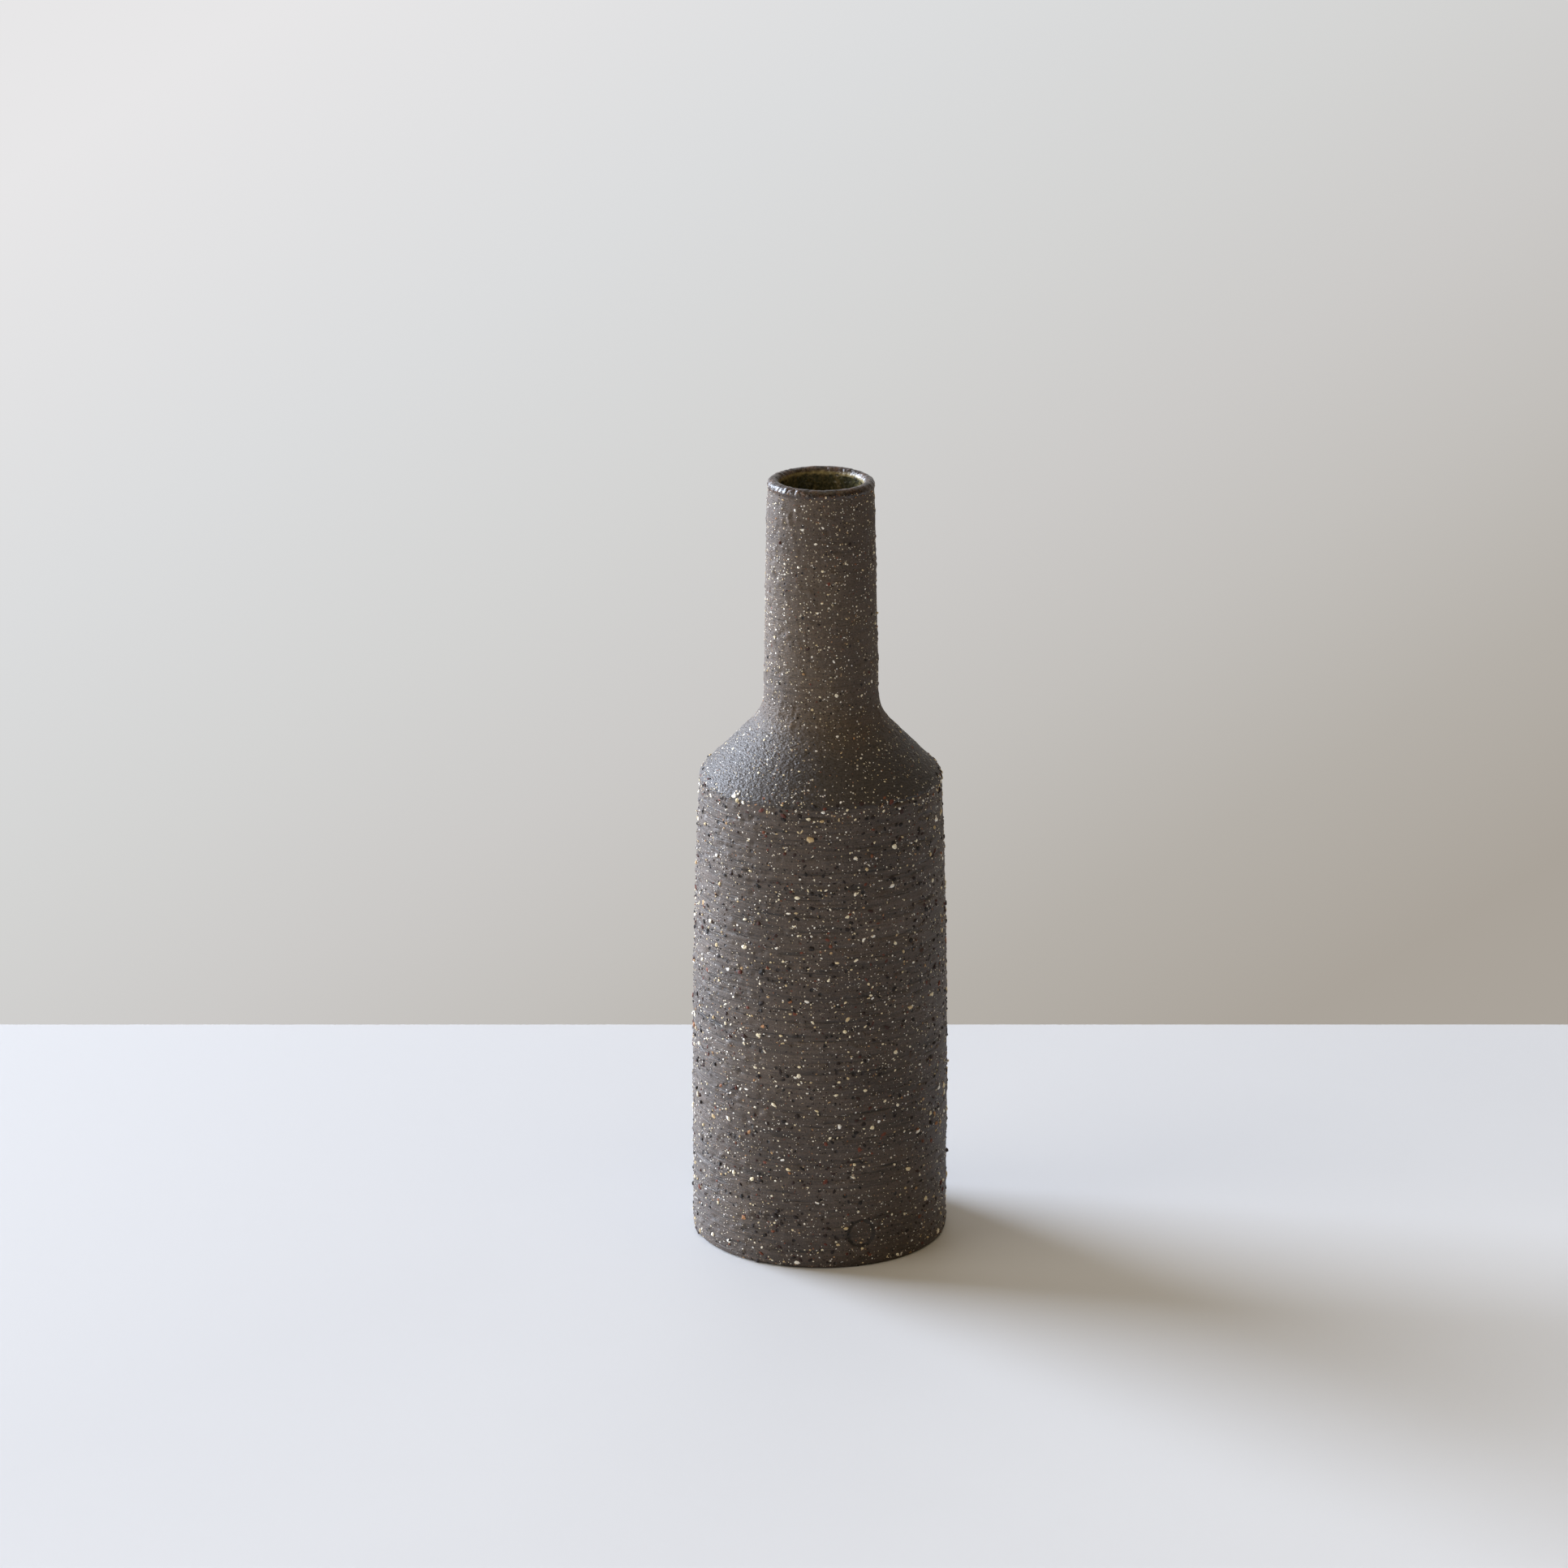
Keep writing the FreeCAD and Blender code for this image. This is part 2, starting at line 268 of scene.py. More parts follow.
wall_outline = joined(
    arc((body_radius - foot_round, foot_round), foot_round, -90, 0, 0.4 * MM),
    line((body_radius, foot_round), (body_radius, straight_height), 0.5 * MM),
    drawn_in((body_radius, straight_height), (shoulder_radius, wall_seam), 0.5 * MM),
)
foot_outline = joined(
    line((0, foot_recess), (body_radius - foot_ring, foot_recess), 4 * MM),
    line((body_radius - foot_ring, foot_recess), (body_radius - foot_ring + foot_recess, 0), 0.7 * MM),
    line((body_radius - foot_ring + foot_recess, 0), wall_outline[0], 2 * MM),
)
inner_radius = body_radius - wall
inner_top = (shoulder_radius - wall, wall_seam - lap_depth)
hidden_outline = joined(
    line(wall_outline[-1], (lap_radius, wall_seam), 1 * MM),
    line((lap_radius, wall_seam), (lap_radius, inner_top[1]), 2 * MM),
    line((lap_radius, inner_top[1]), inner_top, 1 * MM),
    drawn_in((inner_radius, straight_height), inner_top, 12 * MM)[::-1],
    line((inner_radius, straight_height), (inner_radius, floor_height + floor_round), 15 * MM),
    arc((inner_radius - floor_round, floor_height + floor_round), floor_round, 0, -90, 2 * MM),
    line((inner_radius - floor_round, floor_height), (0, floor_height), 8 * MM),
)
body_outline = joined(foot_outline, wall_outline, hidden_outline)
on_wall = np.zeros(len(body_outline))
on_wall[len(foot_outline):len(foot_outline) + len(wall_outline) - 1] = 1
on_wall[len(foot_outline):len(foot_outline) + 3] = (0.2, 0.5, 0.8)
thrown_body = turned("thrown_body_clay", body_outline, 320, skin_relief, on_wall)


def linear(hex_colour):
    """An sRGB hex colour as the linear RGBA that a shader takes."""
    channels = [int(hex_colour[i:i + 2], 16) / 255 for i in (1, 3, 5)]
    return [c / 12.92 if c <= 0.04045 else ((c + 0.055) / 1.055) ** 2.4 for c in channels] + [1]


def add(tree, kind, inputs=(), stops=(), **settings):
    """One node with its settings, its inputs (values or sockets to link) and its ramp's stops."""
    made = tree.nodes.new(kind)
    for setting, choice in settings.items():
        setattr(made, setting, choice)
    for socket, given in dict(inputs).items():
        if isinstance(given, bpy.types.NodeSocket):
            tree.links.new(given, made.inputs[socket])
        else:
            made.inputs[socket].default_value = given
    if stops:
        ramp = made.color_ramp.elements
        while len(ramp) < len(stops):
            ramp.new(0.5)
        for element, (position, colour) in zip(ramp, stops):
            element.position = position
            element.color = linear(colour)
    return made


def empty_material(name):
    """A material with an empty node tree, and that tree."""
    material = bpy.data.materials.new(name)
    material.use_nodes = True
    material.node_tree.nodes.clear()
    return material, material.node_tree


# painted shade: pits are coloured near black, standing in for the shade inside the holes where grains were
# torn out
PIT_PAINTED_SHADE = [(0, "#140e0c"), (1, "#2a1f1a")]
COVERED = [(0, "#453930"), (1, "#5a4d43")]
BARE = [(0, "#2a1f1a"), (0.1, "#7a4128"), (0.2, "#b09676"), (0.4, "#dccfb8"), (0.7, "#fbf6ec")]
TORN_GRAINS = [(2.3, 0.7, 0.3, -3.5, PIT_PAINTED_SHADE), (1.1, 0.4, 0.32, -2, PIT_PAINTED_SHADE), (2, 0.7, 0.27, 2.8, COVERED)]
SPONGED_TONES = [(0.3, "#483d35"), (0.5, "#54483e"), (0.7, "#615447")]
SPONGED_ROUGHNESS = 0.62


def grogged_stoneware(name, clay_tones, tooled, pressed, roughness, grains):
    """Dry unglazed stoneware, IOR 1.5: rough umber clay, with grog too fine to be a grain of its
    own. tooled is how strongly the tool's lines show and pressed how strongly the rib's dimples
    do, from 0 to 1. Up the neck's root the clay changes to the lighter, dry sponged one. A grain is
    (mean distance between two in mm, share of the places with one, its largest radius as a part
    of the distance, how far it lifts the skin in 0.1 mm, its colours)."""
    material, tree = empty_material(name)
    place = add(tree, "ShaderNodeTexCoord").outputs["Object"]
    # firing clouds about 30 mm wide, tool lines 20 mm long and 0.6 mm high, torn strokes 13 mm
    # long and 1.2 mm high, the rib's dimples 1 mm long and 0.4 mm high, 0.4 mm clay grain
    clouds = add(tree, "ShaderNodeTexNoise", {"Vector": place, "Scale": 33, "Detail": 5}).outputs[0]
    level = add(tree, "ShaderNodeMapping", {"Vector": place, "Scale": (50, 50, 1700)}).outputs[0]
    lines = add(tree, "ShaderNodeTexNoise", {"Vector": level, "Scale": 1, "Detail": 3}).outputs[0]
    grit = add(tree, "ShaderNodeTexNoise", {"Vector": place, "Scale": 2600, "Detail": 3}).outputs[0]
    rise = add(tree, "ShaderNodeSeparateXYZ", {0: place}).outputs["Z"]
    sponged = add(tree, "ShaderNodeMapRange", {
        0: rise, 1: sponged_from, 2: sponged_from + sponged_over},
        interpolation_type="SMOOTHSTEP").outputs[0]
    tone = add(tree, "ShaderNodeValToRGB", {"Fac": clouds}, stops=clay_tones).outputs[0]
    pale = add(tree, "ShaderNodeValToRGB", {"Fac": clouds}, stops=SPONGED_TONES).outputs[0]
    tone = add(tree, "ShaderNodeMix", {0: sponged, 6: tone, 7: pale}, data_type="RGBA").outputs[2]
    long_level = add(tree, "ShaderNodeMapping", {"Vector": place, "Scale": (75, 75, 800)}).outputs[0]
    torn = add(tree, "ShaderNodeTexNoise", {"Vector": long_level, "Scale": 1, "Detail": 3}).outputs[0]
    torn = add(tree, "ShaderNodeMapRange", {0: torn, 1: 0.61, 2: 0.68, 3: 0, 4: tooled}).outputs[0]
    # painted shade: the colour darkens along the tool lines and more along the torn strokes, standing in for
    # the shade in their grooves; light is this painted shade times the grit's random lighter and darker clay
    painted_groove_shade = add(tree, "ShaderNodeMapRange", {0: lines, 1: 0.34, 2: 0.56, 3: 1 - 0.45 * tooled, 4: 1})
    painted_groove_shade = add(tree, "ShaderNodeMath", {0: torn, 1: -0.4, 2: painted_groove_shade.outputs[0]}, operation="MULTIPLY_ADD")
    gritty = add(tree, "ShaderNodeMapRange", {0: grit, 1: 0.32, 2: 0.68, 3: 0.66, 4: 1.36})
    light = add(tree, "ShaderNodeMath", {0: painted_groove_shade.outputs[0], 1: gritty.outputs[0]}, operation="MULTIPLY")
    colour = add(tree, "ShaderNodeVectorMath", {0: tone, 3: light.outputs[0]}, operation="SCALE").outputs[0]
    height = add(tree, "ShaderNodeMath", {0: lines, 1: 1.6 * tooled}, operation="MULTIPLY").outputs[0]
    height = add(tree, "ShaderNodeMath", {0: torn, 1: -1.5, 2: height}, operation="MULTIPLY_ADD").outputs[0]
    height = add(tree, "ShaderNodeMath", {0: grit, 1: 1, 2: height}, operation="MULTIPLY_ADD").outputs[0]
    dimples = add(tree, "ShaderNodeMapping", {"Vector": place, "Scale": (1000, 1000, 2600)}).outputs[0]
    dimples = add(tree, "ShaderNodeTexNoise", {"Vector": dimples, "Scale": 1, "Detail": 1}).outputs[0]
    height = add(tree, "ShaderNodeMath", {0: dimples, 1: 4.4 * pressed, 2: height},
                 operation="MULTIPLY_ADD").outputs[0]
    wander = add(tree, "ShaderNodeVectorMath", {
        0: add(tree, "ShaderNodeTexNoise", {"Vector": place, "Scale": 3000}).outputs["Color"],
        1: (0.0003, 0.0003, 0.0003), 2: place}, operation="MULTIPLY_ADD").outputs[0]
    for cell, share, largest, lift, fired in grains:
        cells = add(tree, "ShaderNodeTexVoronoi", {"Vector": wander, "Scale": 1000 / cell})
        chance = add(tree, "ShaderNodeSeparateColor", {0: cells.outputs["Color"]})
        size = add(tree, "ShaderNodeMapRange",
                   {0: chance.outputs[0], 1: 1 - share, 2: 1, 3: -0.02, 4: largest})
        inside = add(tree, "ShaderNodeMath", {0: size.outputs[0], 1: cells.outputs["Distance"]},
                     operation="SUBTRACT").outputs[0]
        edge = add(tree, "ShaderNodeMapRange", {0: inside, 1: 0, 2: 0.05}).outputs[0]
        dome = add(tree, "ShaderNodeMapRange", {0: inside, 1: 0, 2: 0.16}).outputs[0]
        tint = add(tree, "ShaderNodeValToRGB", {"Fac": chance.outputs[1]}, stops=fired).outputs[0]
        colour = add(tree, "ShaderNodeMix", {0: edge, 6: colour, 7: tint}, data_type="RGBA").outputs[2]
        height = add(tree, "ShaderNodeMath", {0: dome, 1: lift, 2: height},
                     operation="MULTIPLY_ADD").outputs[0]
    rough = add(tree, "ShaderNodeMapRange", {0: sponged, 3: roughness, 4: SPONGED_ROUGHNESS}).outputs[0]
    rough = add(tree, "ShaderNodeMath", {0: lines, 1: 0.16, 2: rough}, operation="MULTIPLY_ADD").outputs[0]
    # painted shade: the colour is darkened along the seal's pressed edge, in a soft band about 1 mm wide,
    # standing in for the shade its groove would hold
    from_seal = add(tree, "ShaderNodeVectorMath", {0: place, 1: seal_centre}, operation="DISTANCE")
    off_edge = add(tree, "ShaderNodeMath", {0: from_seal.outputs["Value"], 1: seal_radius - 0.3 * MM},
                   operation="SUBTRACT").outputs[0]
    off_edge = add(tree, "ShaderNodeMath", {0: off_edge}, operation="ABSOLUTE").outputs[0]
    seal_edge_painted_shade = add(tree, "ShaderNodeMapRange", {
        0: off_edge, 1: 0.2 * MM, 2: 0.75 * MM, 3: 0.35, 4: 1}, interpolation_type="SMOOTHSTEP")
    colour = add(tree, "ShaderNodeVectorMath", {0: colour, 3: seal_edge_painted_shade.outputs[0]},
                 operation="SCALE").outputs[0]
    bump = add(tree, "ShaderNodeBump", {"Height": height, "Distance": 0.1 * MM, "Strength": 1})
    clay = add(tree, "ShaderNodeBsdfPrincipled", {
        "Base Color": colour, "Roughness": rough, "Normal": bump.outputs[0], "IOR": 1.5})
    add(tree, "ShaderNodeOutputMaterial", {0: clay.outputs[0]})
    return material


turned_clay = grogged_stoneware(
    "turned stoneware", [(0.3, "#443932"), (0.5, "#4e433b"), (0.7, "#5a4e45")], 1, 0, 0.51,
    TORN_GRAINS + [(1.5, 0.25, 0.24, 1.4, BARE), (0.85, 0.32, 0.3, 1, BARE), (0.5, 0.3, 0.34, 0.6, BARE)])
thrown_body.data.materials.append(turned_clay)
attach(thrown_body, "root")
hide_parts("thrown_body")

# ---- Grog in the body ----------------------------------------------------------------------
# Crushed fired clay, sieved to 2 mm, that shows as cream, tan and rust chips in the dark clay.
# The tool shears most of them off nearly flush, and some stand proud as bumps.

GROG_COLOURS = [
    (0, "#3a2a22"), (0.03, "#7a4630"), (0.08, "#b08058"), (0.16, "#c0a67d"), (0.3, "#e2cfa4"),
    (0.5, "#f6ebcb"), (0.75, "#fdf6e3"), (0.9, "#fffdf8"),
]


def chip_shape(fineness):
    """A round grain to break chips from: its points, and its triangles."""
    grain = bmesh.new()
    bmesh.ops.create_icosphere(grain, subdivisions=fineness, radius=1)
    points = np.array([v.co for v in grain.verts])
    faces = np.array([[v.index for v in f.verts] for f in grain.faces])
    grain.free()
    return points, faces


def grog(name, seed, outline, batches):
    """Broken grains seated in a turned skin. A batch is (count, smallest, largest, proud, shape):
    sizes across in mm, and how far the proudest grain stands out, in mm."""
    random = np.random.default_rng(seed)
    length = np.concatenate([[0], np.cumsum(np.linalg.norm(np.diff(outline, axis=0), axis=1))])
    area = np.concatenate([[0], np.cumsum(np.diff(length) * (outline[1:, 0] + outline[:-1, 0]) / 2)])
    out = normals(outline)
    all_points, all_faces, used = [], [], 0
    for count, smallest, largest, proud, (shape, faces) in batches:
        along = np.interp(random.uniform(0, area[-1], count), area, length)
        radius = np.interp(along, length, outline[:, 0])
        height = np.interp(along, length, outline[:, 1])
        out_radius = np.interp(along, length, out[:, 0])
        out_height = np.interp(along, length, out[:, 1])
        turn = random.uniform(0, FULL_TURN, count)
        lift = skin_relief(turn, height, radius)
        radius = radius + lift * out_radius
        height = height + lift * out_height
        round_about = np.stack([-np.sin(turn), np.cos(turn), np.zeros(count)], -1)
        outward = np.stack([out_radius * np.cos(turn), out_radius * np.sin(turn), out_height], -1)
        upward = np.cross(outward, round_about)
        half = smallest * (largest / smallest) ** (random.uniform(0, 1, count) ** 1.4) / 2 * MM
        widths = random.uniform([0.95, 0.55, 0.5], [1.3, 0.95, 0.8], (count, 3)) * half[:, None]
        broken = 1 + random.uniform(-0.24, 0.2, (count, len(shape), 1))
        grain = shape * broken * widths[:, None, :]
        spin = random.normal(0, 0.7, count)
        across = grain[:, :, 0] * np.cos(spin)[:, None] - grain[:, :, 1] * np.sin(spin)[:, None]
        up = grain[:, :, 0] * np.sin(spin)[:, None] + grain[:, :, 1] * np.cos(spin)[:, None]
        stand = random.uniform(0.12, 1, count) * proud * MM
        stand = np.minimum(np.maximum(stand, 0.05 * MM), 0.75 * half)
        sunk = stand - widths[:, 2] * random.uniform(0.82, 1.1, count)
        depth = np.minimum(grain[:, :, 2] + sunk[:, None], stand[:, None])
        centre = np.stack([radius * np.cos(turn), radius * np.sin(turn), height], -1)
        points = centre[:, None] + across[..., None] * round_about[:, None]
        points = points + up[..., None] * upward[:, None] + depth[..., None] * outward[:, None]
        points[..., 2] = np.maximum(points[..., 2], 0)
        all_points.append(points.reshape(-1, 3))
        offsets = used + np.arange(count)[:, None, None] * len(shape)
        all_faces.append((faces[None] + offsets).reshape(-1, 3))
        used += count * len(shape)
    mesh = bpy.data.meshes.new(name)
    mesh.from_pydata(np.concatenate(all_points).tolist(), [], np.concatenate(all_faces).tolist())
    piece = bpy.data.objects.new(name, mesh)
    bpy.context.scene.collection.objects.link(piece)
    return piece


def fired_grog(name, colours, roughness):
    """Crushed grains fired inside the pot, IOR 1.5: each has its own colour, with 0.15 mm mottling
    inside it. Bare ones are dry and matte, and ones under thin glaze are satin."""
    material, tree = empty_material(name)
    grain = add(tree, "ShaderNodeNewGeometry").outputs["Random Per Island"]
    place = add(tree, "ShaderNodeTexCoord").outputs["Object"]
    mottle = add(tree, "ShaderNodeTexNoise", {"Vector": place, "Scale": 6000, "Detail": 2}).outputs[0]
    colour = add(tree, "ShaderNodeValToRGB", {"Fac": grain}, stops=colours).outputs[0]
    shade = add(tree, "ShaderNodeMapRange", {0: mottle, 1: 0.3, 2: 0.7, 3: 0.8, 4: 1.1}).outputs[0]
    colour = add(tree, "ShaderNodeVectorMath", {0: colour, 3: shade}, operation="SCALE").outputs[0]
    bump = add(tree, "ShaderNodeBump", {"Height": mottle, "Distance": 0.04 * MM, "Strength": 1})
    rough = add(tree, "ShaderNodeMapRange", {
        0: mottle, 1: 0.3, 2: 0.7, 3: roughness, 4: roughness + 0.25}).outputs[0]
    chip = add(tree, "ShaderNodeBsdfPrincipled", {
        "Base Color": colour, "Roughness": rough, "Normal": bump.outputs[0], "IOR": 1.5})
    add(tree, "ShaderNodeOutputMaterial", {0: chip.outputs[0]})
    return material


coarse_chip = chip_shape(2)
fine_chip = chip_shape(1)
grog_material = fired_grog("fired grog", GROG_COLOURS, 0.65)
body_grog = grog("body_grog", 21, wall_outline[2:], [
    (450, 0.85, 1.7, 0.5, coarse_chip),
    (1650, 0.5, 0.85, 0.36, fine_chip),
    (3200, 0.25, 0.5, 0.22, fine_chip),
])
body_grog.data.materials.append(grog_material)
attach(body_grog, "root")

# ---- Iron grains ---------------------------------------------------------------------------
# Grains rich in iron, crushed and sieved with the grog. In the firing they burn to near black or
# rust red, and they sit in the wall as dark bumps between the pale chips.

IRON_COLOURS = [(0, "#0e0907"), (0.6, "#20130f"), (0.8, "#37201a"), (0.93, "#5a2a1e"), (1, "#7a4230")]
iron_material = fired_grog("fired iron grains", IRON_COLOURS, 0.62)
body_iron = grog("body_iron_grains", 24, wall_outline[2:], [
    (1050, 0.8, 1.8, 0.45, coarse_chip),
    (2600, 0.45, 0.8, 0.3, fine_chip),
])
body_iron.data.materials.append(iron_material)
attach(body_iron, "root")

# ---- Shoulder ------------------------------------------------------------------------------
# A cone of the same clay, luted on and pressed smooth with a rib. Burnishing lays the fine clay
# flat, so it has a satin sheen broken by the rib's small dimples, and only small grog shows. The
# arris keeps a line of coarser grains, where the tool chipped the edge.

collar_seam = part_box("shoulder_cone")[1].z
slip_layer = 0.3 * MM
shoulder_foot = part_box("shoulder_cone")[0].z
shoulder_round = 2 * MM
neck_root_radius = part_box("neck_tube")[1].x
neck_root_height = 150.2 * MM
neck_root_round = 13.5 * MM
bore_radius = 11.65 * MM
collar_lap_radius = 13.7 * MM
inner_shoulder = 129.2 * MM
inner_root = 146.7 * MM
inner_root_round = 6 * MM


def rounded(before, at, after, radius, step):
    """The arc that rounds the corner `at` between two straight sides of a half section."""
    before, at, after = (np.array(p) for p in (before, at, after))
    back = (before - at) / np.linalg.norm(before - at)
    forward = (after - at) / np.linalg.norm(after - at)
    half = math.acos(np.clip(back @ forward, -1, 1)) / 2
    inward = (back + forward) / np.linalg.norm(back + forward)
    centre = at + inward * radius / math.sin(half)
    first, last = at + back * radius / math.tan(half), at + forward * radius / math.tan(half)
    start = math.degrees(math.atan2(*(first - centre)[::-1]))
    swing = math.degrees(math.atan2(*(last - centre)[::-1])) - start
    swing = (swing + 180) % 360 - 180
    return arc(centre, radius, start, start + swing, step)


arris = (shoulder_radius, arris_height)
cone_top = (neck_root_radius, neck_root_height)
skirt = (shoulder_radius, wall_seam + slip_layer)
collar = (neck_root_radius, collar_seam)
arris_arc = rounded(skirt, arris, cone_top, shoulder_round, 0.35 * MM)
root_arc = rounded(arris, cone_top, collar, neck_root_round, 0.5 * MM)
cone_outline = joined(
    line(skirt, arris_arc[0], 0.3 * MM), arris_arc, line(arris_arc[-1], root_arc[0], 0.5 * MM),
    root_arc, line(root_arc[-1], collar, 0.4 * MM),
)
inner_foot = (shoulder_radius - wall, inner_shoulder)
inner_corner = (bore_radius, inner_root)
inner_arc = rounded(inner_foot, inner_corner, (bore_radius, collar_seam), inner_root_round, 1 * MM)
lap_outer = lap_radius - slip_layer
lap_shelf = collar_seam - lap_depth
cone_hidden = joined(
    line(collar, (collar_lap_radius, collar_seam), 1 * MM),
    line((collar_lap_radius, collar_seam), (collar_lap_radius, lap_shelf), 2 * MM),
    line((collar_lap_radius, lap_shelf), (bore_radius, lap_shelf), 1 * MM),
    line((bore_radius, lap_shelf), inner_arc[-1], 2 * MM), inner_arc[::-1],
    line(inner_arc[0], inner_foot, 3 * MM),
    line(inner_foot, (inner_foot[0], shoulder_foot), 1 * MM),
    line((inner_foot[0], shoulder_foot), (lap_outer, shoulder_foot), 1 * MM),
    line((lap_outer, shoulder_foot), (lap_outer, skirt[1]), 2 * MM),
    line((lap_outer, skirt[1]), skirt, 1 * MM)[:-1],
)
shoulder_outline = joined(cone_outline, cone_hidden)
on_cone = np.zeros(len(shoulder_outline))
on_cone[:len(cone_outline)] = 1
shoulder = turned("shoulder_clay", shoulder_outline, 320, skin_relief, on_cone)
shoulder.data.materials.append(grogged_stoneware(
    "burnished stoneware", [(0.3, "#312c2a"), (0.5, "#3c3633"), (0.7, "#453e3a")], 0.5, 1, 0.48,
    [(1.5, 0.6, 0.3, -2, PIT_PAINTED_SHADE), (0.8, 0.4, 0.32, -1.6, PIT_PAINTED_SHADE), (1.1, 0.2, 0.32, 2.2, BARE),
     (0.62, 0.18, 0.4, 1.8, BARE)]))
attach(shoulder, "root")
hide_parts("shoulder_cone")
shoulder_grog = grog("shoulder_grog", 22, cone_outline, [
    (110, 0.6, 1.1, 0.16, coarse_chip),
    (1000, 0.25, 0.5, 0.14, fine_chip),
])
shoulder_grog.data.materials.append(grog_material)
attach(shoulder_grog, "root")
arris_band = joined(wall_outline[-6:], cone_outline[:len(arris_arc) + 3])
arris_grog = grog("arris_grog", 26, arris_band, [
    (65, 0.7, 1.5, 0.45, coarse_chip), (200, 0.3, 0.7, 0.3, fine_chip)])
arris_grog.data.materials.append(grog_material)
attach(arris_grog, "root")
arris_iron = grog("arris_iron_grains", 27, arris_band, [(90, 0.7, 1.6, 0.45, coarse_chip)])
arris_iron.data.materials.append(iron_material)
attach(arris_iron, "root")

# ---- Luting slip ---------------------------------------------------------------------------
# Liquid clay that glues the sections at leather hard. It is pressed out flush and tooled with the
# wall, so the fired joint all but vanishes on it.


def joint_slip(name, node, seam, outside, inside, step):
    """The slip that fills one stepped joint, from the outside wall to the inside one."""
    skin = line((outside, seam), (outside, seam + slip_layer), 0.1 * MM)
    back = joined(
        line(skin[-1], (step - slip_layer, seam + slip_layer), 1 * MM),
        line((step - slip_layer, seam + slip_layer),
             (step - slip_layer, seam - lap_depth + slip_layer), 2 * MM),
        line((step - slip_layer, seam - lap_depth + slip_layer),
             (inside, seam - lap_depth + slip_layer), 1 * MM),
        line((inside, seam - lap_depth + slip_layer), (inside, seam - lap_depth), 0.3 * MM),
        line((inside, seam - lap_depth), (step, seam - lap_depth), 1 * MM),
        line((step, seam - lap_depth), (step, seam), 2 * MM),
        line((step, seam), skin[0], 1 * MM)[:-1],
    )
    outline = joined(skin, back)
    shown = np.zeros(len(outline))
    shown[:len(skin)] = 1
    piece = turned(name, outline, 320, skin_relief, shown)
    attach(piece, "root")
    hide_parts(node)
    return piece


shoulder_slip = joint_slip("shoulder_joint_slip", "shoulder_slip", wall_seam, shoulder_radius,
                           shoulder_radius - wall, lap_radius)
shoulder_slip.data.materials.append(turned_clay)

# ---- Neck ----------------------------------------------------------------------------------
# A tube thrown off the hump, tapered and luted on, then sponged. Sponging washes fine clay off
# the grog, so the dry wall is thick with small pale specks. The lip is drawn in and rounded.

lip_radius = 14.4 * MM
neck_radius = 14.65 * MM
lip_draw = 7.5 * MM
lip_band = 3.4 * MM
glaze_coat = 0.35 * MM
rim_coat = 0.2 * MM
lip_centre = vase_height - (lip_radius + rim_coat - bore_radius + glaze_coat) / 2
liner_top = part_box("liner_glaze")[1].z
neck_foot = (neck_root_radius, collar_seam + slip_layer)
tongue = collar_lap_radius - slip_layer
lip_crown = ((lip_radius + bore_radius) / 2, lip_centre)
neck_skin = joined(
    line(neck_foot, (neck_radius, vase_height - lip_draw), 0.45 * MM),
    line((neck_radius, vase_height - lip_draw), (lip_radius, vase_height - lip_band), 0.45 * MM),
    line((lip_radius, vase_height - lip_band), (lip_radius, lip_centre), 0.4 * MM),
)
neck_hidden = joined(
    arc(lip_crown, (lip_radius - bore_radius) / 2, 0, 180, 0.5 * MM),
    line((bore_radius, lip_centre), (bore_radius, neck_foot[1] - lap_depth), 6 * MM),
    line((bore_radius, neck_foot[1] - lap_depth), (tongue, neck_foot[1] - lap_depth), 1 * MM),
    line((tongue, neck_foot[1] - lap_depth), (tongue, neck_foot[1]), 2 * MM),
    line((tongue, neck_foot[1]), neck_foot, 1 * MM)[:-1],
)
neck_outline = joined(neck_skin, neck_hidden)
on_neck = np.zeros(len(neck_outline))
on_neck[:len(neck_skin)] = 1
neck = turned("neck_clay", neck_outline, 240, skin_relief, on_neck)
sponged_clay = grogged_stoneware(
    "sponged stoneware", SPONGED_TONES, 0.5, 0.3, SPONGED_ROUGHNESS,
    [(1.6, 0.5, 0.3, -2.2, PIT_PAINTED_SHADE), (0.9, 0.5, 0.3, -1.8, PIT_PAINTED_SHADE), (1.1, 0.35, 0.3, 1.2, BARE),
     (0.65, 0.4, 0.35, 1, BARE)])
neck.data.materials.append(sponged_clay)
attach(neck, "root")
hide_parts("neck_tube")
neck_grog = grog("neck_grog", 23, neck_skin, [
    (110, 0.6, 1.2, 0.3, coarse_chip),
    (1900, 0.25, 0.58, 0.16, fine_chip),
])
neck_grog.data.materials.append(grog_material)
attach(neck_grog, "root")
neck_iron = grog("neck_iron_grains", 25, neck_skin[:-3], [(50, 0.7, 1.3, 0.35, coarse_chip)])
neck_iron.data.materials.append(iron_material)
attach(neck_iron, "root")
neck_slip = joint_slip("neck_joint_slip", "neck_slip", collar_seam, neck_root_radius,
                       bore_radius, collar_lap_radius)
neck_slip.data.materials.append(sponged_clay)

# ---- Liner glaze ---------------------------------------------------------------------------
# A glossy iron and copper glaze poured in and out. It is olive where it lies thick and tan where
# it thins, with darker runs down the bore, and it pools on the floor.

glaze_pool = 1 * MM
glaze_waves = Ripple(31, 30, 3 * MM)
glaze_runs = Ripple(32, 26, 25 * MM)


def liner_relief(turn, height, radius):
    """Molten glaze wanders in thickness, and hangs in runs down the bore."""
    return glaze_waves(turn, height) * 0.04 * MM + glaze_runs(turn, height) * 0.07 * MM


